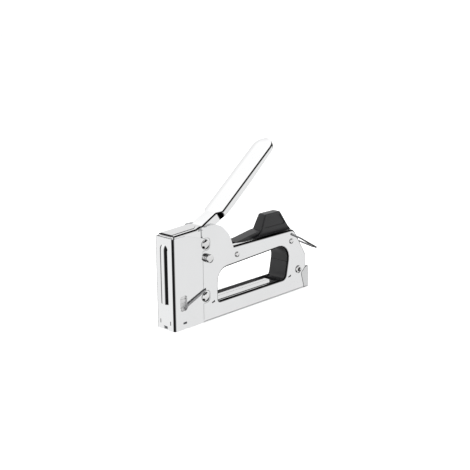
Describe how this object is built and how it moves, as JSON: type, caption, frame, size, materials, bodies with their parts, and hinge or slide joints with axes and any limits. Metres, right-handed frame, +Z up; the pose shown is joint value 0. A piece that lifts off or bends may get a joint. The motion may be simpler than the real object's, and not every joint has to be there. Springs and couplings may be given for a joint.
{
  "type": "hand staple gun",
  "caption": "Chromed steel hand staple gun with a squeeze lever, wire lock, power adjuster and rear-loading magazine.",
  "frame": {"origin": "under the middle of the tool's box, on the surface its nose stands on", "axes": "+X from the nose to the back, +Z up from the nose foot to the lever, Y across the tool"},
  "size_m": [0.2182, 0.034, 0.1615],
  "materials": {
    "chrome_body": "bright chrome plate on pressed steel",
    "chrome_lever": "bright chrome plate on pressed steel",
    "rivets": "polished heads",
    "plain_steel": "plain rolled steel",
    "wire_steel": "drawn spring wire",
    "spring_steel": "oiled spring steel",
    "staples": "galvanised wire",
    "black_plastic": "moulded black plastic, slight sheen",
    "bumper_rubber": "matt rubber"
  },
  "bodies": {
    "frame": {"near_shell": "chrome_body", "far_shell": "chrome_body", "nose_cover": "chrome_body", "inner_frame": "plain_steel", "lever_pivot": "rivets", "lower_rivet": "rivets", "side_stud": "rivets", "front_rail_rivet": "rivets", "rear_rail_rivet": "rivets", "tube_rivet": "rivets", "grip_block": "black_plastic", "upper_hole_liner": "black_plastic", "lower_hole_liner": "black_plastic", "near_adjuster_rack": "plain_steel", "far_adjuster_rack": "plain_steel", "shock_bumper": "bumper_rubber", "magazine_channel": "plain_steel", "main_spring": "spring_steel"},
    "lever": {"lever_handle": "chrome_lever"},
    "driver": {"driver_blade": "plain_steel", "plunger": "plain_steel", "lift_pin": "plain_steel"},
    "magazine": {"magazine_rail": "plain_steel", "magazine_latch": "chrome_body", "staple_strip": "staples", "pusher_rod": "plain_steel", "pusher_spring": "spring_steel"},
    "pusher": {"staple_pusher": "plain_steel"},
    "bail": {"wire_bail": "wire_steel"},
    "adjuster": {"power_adjuster": "wire_steel"}
  },
  "joints": [
    {"name": "lever_swing", "type": "hinge", "parent": "frame", "child": "lever", "pos_m": [-0.06667, 0, 0.0752], "axis": [0, 1, 0], "range_deg": [0, 36], "stiffness_Nm_per_rad": 3, "springref_deg": -14.32},
    {"name": "driver_slide", "type": "slide", "parent": "frame", "child": "driver", "axis": [0, 0, 1], "range_m": [0, 0.02], "deforming": ["main_spring"]},
    {"name": "magazine_slide", "type": "slide", "parent": "frame", "child": "magazine", "axis": [1, 0, 0], "range_m": [0, 0.11]},
    {"name": "pusher_slide", "type": "slide", "parent": "magazine", "child": "pusher", "axis": [1, 0, 0], "range_m": [0, 0.075], "stiffness_N_per_m": 25, "springref_m": -0.08, "deforming": ["pusher_spring"]},
    {"name": "bail_swing", "type": "hinge", "parent": "frame", "child": "bail", "pos_m": [0.05503, 0, 0.0615], "axis": [0, -1, 0], "range_deg": [0, 75]},
    {"name": "adjuster_swing", "type": "hinge", "parent": "frame", "child": "adjuster", "pos_m": [-0.06807, 0, 0.0319], "axis": [0, 1, 0], "range_deg": [0, 16]}
  ],
  "couplings": [
    {"joint": "driver_slide", "follows": "lever_swing", "m_per_rad": 0.031648}
  ]
}
